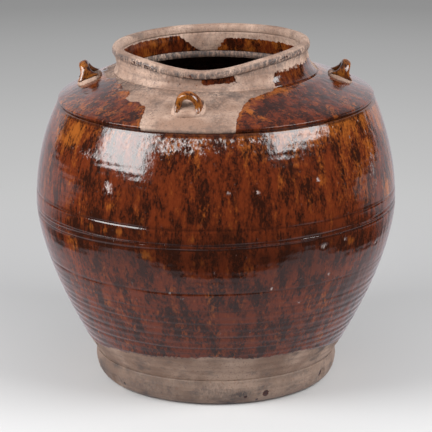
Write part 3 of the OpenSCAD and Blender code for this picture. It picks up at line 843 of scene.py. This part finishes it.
@dataclass
class Studio:
    """Pale floor, two soft boxes, a dim room and the camera."""

    distance: float = 2.5
    elevation: float = 15.5
    aim: Tuple[float, float, float] = (0.0, 0.0, 0.170)
    focal: float = 208.33
    lift: float = -0.0231
    boxes: Sequence[Tuple[float, float, float, float, float, float]] = field(default_factory=lambda: (
        (-63.0, 25.0, 1.3, 0.80, 0.62, 20.0), (59.0, 32.5, 1.3, 0.92, 0.54, 17.5)))

    def camera(self) -> None:
        """Camera at the photograph's angle."""
        cam = bpy.data.cameras.new("camera")
        cam.lens, cam.sensor_width, cam.shift_y = self.focal, 36.0, self.lift
        obj = bpy.data.objects.new("camera", cam)
        e = np.radians(self.elevation)
        obj.location = (self.aim[0], self.aim[1] - self.distance * np.cos(e), self.aim[2] + self.distance * np.sin(e))
        obj.rotation_euler = (np.pi / 2 - e, 0, 0)
        bpy.context.scene.collection.objects.link(obj)
        bpy.context.scene.camera = obj

    def lamps(self) -> None:
        """Soft boxes whose reflections are the two window-like highlights."""
        from mathutils import Vector
        for k, (az, el, away, wide, high, power) in enumerate(self.boxes):
            lamp = bpy.data.lights.new("soft_box_%d" % k, "AREA")
            lamp.shape, lamp.size, lamp.size_y, lamp.energy = "RECTANGLE", wide, high, power
            obj = bpy.data.objects.new("soft_box_%d" % k, lamp)
            a, e = np.radians(az), np.radians(el)
            spot = Vector((away * np.cos(e) * np.sin(a), -away * np.cos(e) * np.cos(a), 0.24 + away * np.sin(e)))
            obj.location = spot
            obj.rotation_euler = (Vector((0, 0, 0.24)) - spot).to_track_quat("-Z", "Y").to_euler()
            bpy.context.scene.collection.objects.link(obj)

    def world(self) -> None:
        """Dim room in front and a pale backdrop behind, which the glaze mirrors at its edges."""
        world = bpy.data.worlds.new("room")
        world.use_nodes = True
        bpy.context.scene.world = world
        n = Nodes(world.node_tree)
        way = n.add("ShaderNodeSeparateXYZ", None, i0=n.add("ShaderNodeTexCoord").outputs["Generated"])
        behind = n.step(n.math("SUBTRACT", way.outputs[1], n.math("MULTIPLY", n.math("ABSOLUTE", way.outputs[0]), 0.93)), -0.01, 0.01)
        above = n.step(way.outputs[2], 0.35, 0.8)
        glow = n.mix(behind, (0.03, 0.03, 0.032, 1), (0.85, 0.83, 0.88, 1))
        glow = n.mix(above, glow, (0.30, 0.29, 0.32, 1))
        path = n.add("ShaderNodeLightPath")
        colour = n.mix(path.outputs["Is Glossy Ray"], (0.38, 0.38, 0.39, 1), glow)
        colour = n.mix(path.outputs["Is Camera Ray"], colour, (0.28, 0.28, 0.28, 1))
        world.node_tree.links.new(colour, world.node_tree.nodes["Background"].inputs[0])

    def floor(self) -> None:
        """Pale floor that darkens smoothly far behind the jar."""
        steps, radii = 96, np.array([0.0005, 0.15, 0.3, 0.5, 0.8, 1.2, 1.8, 2.6, 4.0, 7.0])[:, None] * 1000
        az = azimuths(steps)
        x, y = radii * np.sin(np.radians(az)), -radii * np.cos(np.radians(az))
        verts = np.stack([x, y, 0 * x], axis=-1).reshape(-1, 3)
        rows = [f for f in Mesh.torus_faces(len(radii), steps).tolist() if max(f) - min(f) <= 2 * steps]
        obj = Mesh.build("floor", verts, rows, {})
        mat = bpy.data.materials.new("pale floor")
        mat.use_nodes = True
        n = Nodes(mat.node_tree)
        links = mat.node_tree.links
        shader = mat.node_tree.nodes["Principled BSDF"]
        shader.inputs["Roughness"].default_value = 1.0
        shader.inputs["Specular IOR Level"].default_value = 0.0
        point = n.add("ShaderNodeTexCoord").outputs["Object"]
        part = n.add("ShaderNodeSeparateXYZ", None, i0=point)
        away = n.add("ShaderNodeVectorMath", {"operation": "LENGTH"}, i0=point).outputs["Value"]
        ramp = n.add("ShaderNodeValToRGB", None, i0=n.math("DIVIDE", away, 2.4))
        stops = ((0.0, 0.60), (0.27, 0.58), (0.36, 0.535), (0.45, 0.497), (0.56, 0.434), (0.68, 0.371), (0.81, 0.285), (1.0, 0.25))
        ramp.color_ramp.elements[0].color = (stops[0][1],) * 3 + (1,)
        ramp.color_ramp.elements[1].color = (stops[-1][1],) * 3 + (1,)
        for place, level in stops[1:-1]:
            ramp.color_ramp.elements.new(place).color = (level, level, level, 1)
        shader.inputs["Base Color"].default_value = (0.60, 0.60, 0.60, 1)
        backdrop = n.add("ShaderNodeEmission", None, i0=ramp.outputs[0])
        path = n.add("ShaderNodeLightPath")
        far = n.math("MULTIPLY", n.step(away, 0.42, 0.75), path.outputs["Is Camera Ray"])
        seen = n.add("ShaderNodeMixShader", None, i0=far, i1=shader.outputs[0], i2=backdrop.outputs[0])
        # In glossy rays the floor glows instead of reflecting lamp light: a painted reflection, pale round and behind
        # the jar and dark in front and at the sides.
        edge = n.math("MULTIPLY", n.step(part.outputs[1], -0.33, -0.31), n.step(n.math("ABSOLUTE", part.outputs[0]), 0.42, 0.38))
        edge = n.math("MAXIMUM", edge, n.step(part.outputs[1], 0.1, 0.5))
        mirrored = n.add("ShaderNodeEmission", None, i0=n.mix(edge, (0.03, 0.03, 0.03, 1), (0.62, 0.60, 0.64, 1)))
        both = n.add("ShaderNodeMixShader", None, i0=path.outputs["Is Glossy Ray"], i1=seen.outputs[0], i2=mirrored.outputs[0])
        out = mat.node_tree.nodes["Material Output"]
        links.new(both.outputs[0], out.inputs[0])
        obj.data.materials.append(mat)

    def build(self) -> None:
        """Sets up the whole studio."""
        bpy.context.scene.view_settings.view_transform = "Standard"
        self.camera()
        self.lamps()
        self.world()
        self.floor()


def main() -> None:
    """Builds the jar and its studio and reports each piece."""
    logging.basicConfig(level=logging.INFO, format="%(message)s")
    groups = ShaderGroups()
    glazed = Finish("streaked glaze over stoneware").make(groups)
    mouth = Finish("bare stoneware of the mouth", pale=(0.58, 0.40, 0.305, 1), stain=0.5).make(groups)
    footed = Finish("bare stoneware of the foot", clay=(0.165, 0.105, 0.075, 1),
                    pale=(0.29, 0.20, 0.15, 1), stain=0.95, dry=0.6).make(groups)
    looped = Finish("amber glaze of the lugs", body=(0.13, 0.032, 0.008, 1),
                    amber=(0.27, 0.088, 0.014, 1), gloss=0.1).make(groups)
    walled = Finish("streaked glaze of the walls", clay=(0.195, 0.120, 0.085, 1), pale=(0.36, 0.25, 0.19, 1)).make(groups)
    Body().build(glazed, walled, footed)
    Mouth().build(mouth)
    for side, az, r in (("front", -11.5, 128.05), ("right", 90.0, 122.06), ("back", 174.0, 125.87), ("left", -90.0, 124.24)):
        lug = Lug(side, az, r)
        lug.pad(mouth)
        lug.loop(looped)
    Studio().build()


if __name__ == "__main__":
    main()
